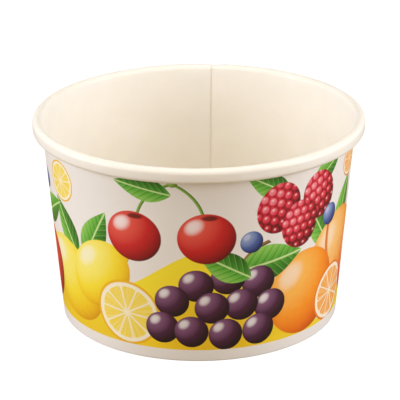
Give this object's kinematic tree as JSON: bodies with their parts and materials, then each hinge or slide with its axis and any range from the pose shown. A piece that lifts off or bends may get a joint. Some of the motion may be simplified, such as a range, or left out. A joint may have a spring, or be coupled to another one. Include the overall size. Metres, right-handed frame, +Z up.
{
  "type": "paper dessert cup",
  "caption": "Round coated-board dessert cup with slightly tapered printed wall, rolled rim, lapped back seam and a recessed base held in a hemmed foot.",
  "frame": {"origin": "centre of the plane that the cup's foot stands on", "axes": "+Z up along the cup's axis, -Y to the printed front, +Y to the lap seam at the back"},
  "size_m": [0.096, 0.096, 0.06],
  "materials": {
    "printed_board": "satin",
    "base_board": "satin"
  },
  "bodies": {
    "root": {"side_wall": "printed_board", "base_disc": "base_board"}
  },
  "joints": []
}
